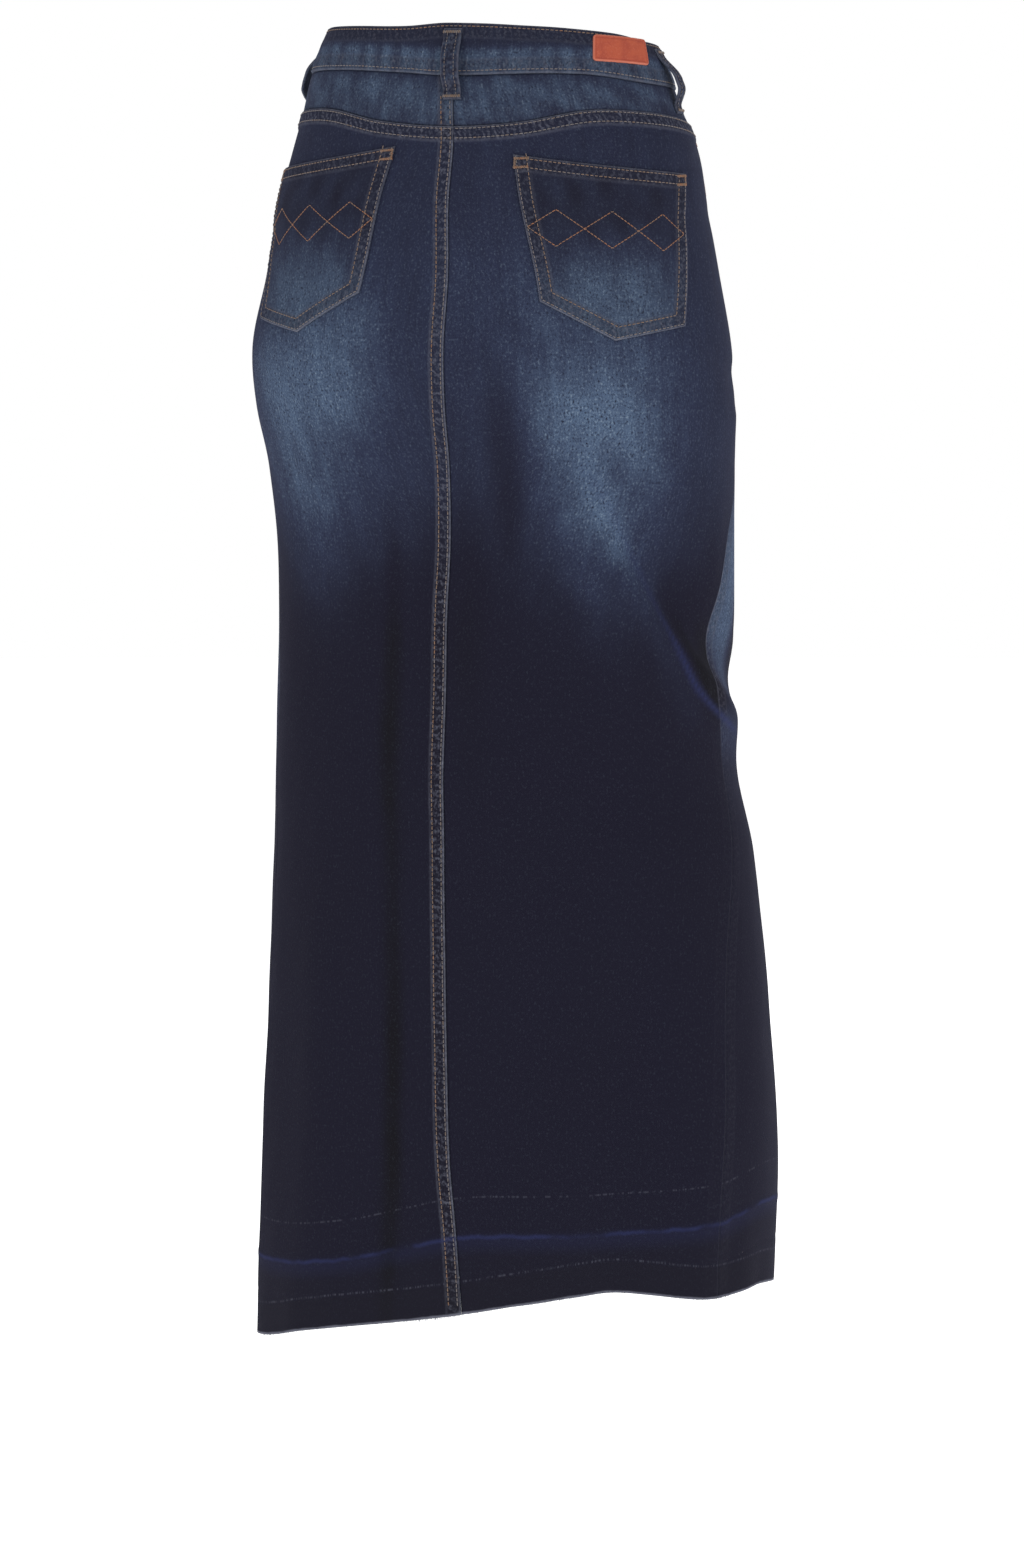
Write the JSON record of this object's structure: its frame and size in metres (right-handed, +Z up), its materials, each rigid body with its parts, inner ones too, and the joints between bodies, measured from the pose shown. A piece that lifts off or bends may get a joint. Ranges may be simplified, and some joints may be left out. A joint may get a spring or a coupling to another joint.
{
  "type": "denim skirt",
  "caption": "Ankle-length dark indigo denim skirt in a worn, hollow form, with waistband, belt loops, back yoke, patch pockets and a let-down raw hem.",
  "frame": {"origin": "middle of the waistband's height on the skirt's own axis, where the wearer's waist holds it", "axes": "+Z up, the front faces -Y, the wearer's left is +X"},
  "size_m": [0.3941, 0.2785, 0.9566],
  "materials": {
    "denim": "dark indigo stretch denim twill, sanded paler over the seat and thighs",
    "yoke_denim": "indigo denim twill, a little faded",
    "band_denim": "indigo denim twill, doubled and topstitched",
    "pocket_denim": "indigo denim twill, faded below its upper edge",
    "patch_leather": "matt orange-brown patch with a pressed plain border",
    "tape": "woven zip tape",
    "thread": "tan topstitching thread",
    "antique_brass": "dulled, with a satin rim"
  },
  "bodies": {
    "root": {"waistband": "band_denim", "belt_loop_back": "band_denim", "belt_loop_side_right": "band_denim", "belt_loop_side_left": "band_denim", "belt_loop_front_right": "band_denim", "belt_loop_front_left": "band_denim", "back_yoke_right": "yoke_denim", "back_yoke_left": "yoke_denim", "back_panel_right": "denim", "back_panel_left": "denim", "front_panel_right": "denim", "front_panel_left": "denim", "back_pocket_right": "pocket_denim", "back_pocket_left": "pocket_denim", "front_pocket_facing_right": "pocket_denim", "front_pocket_facing_left": "pocket_denim", "waist_patch": "patch_leather", "fly_zip": "tape", "zip_slider": "antique_brass", "shank_button": "antique_brass"}
  },
  "joints": []
}
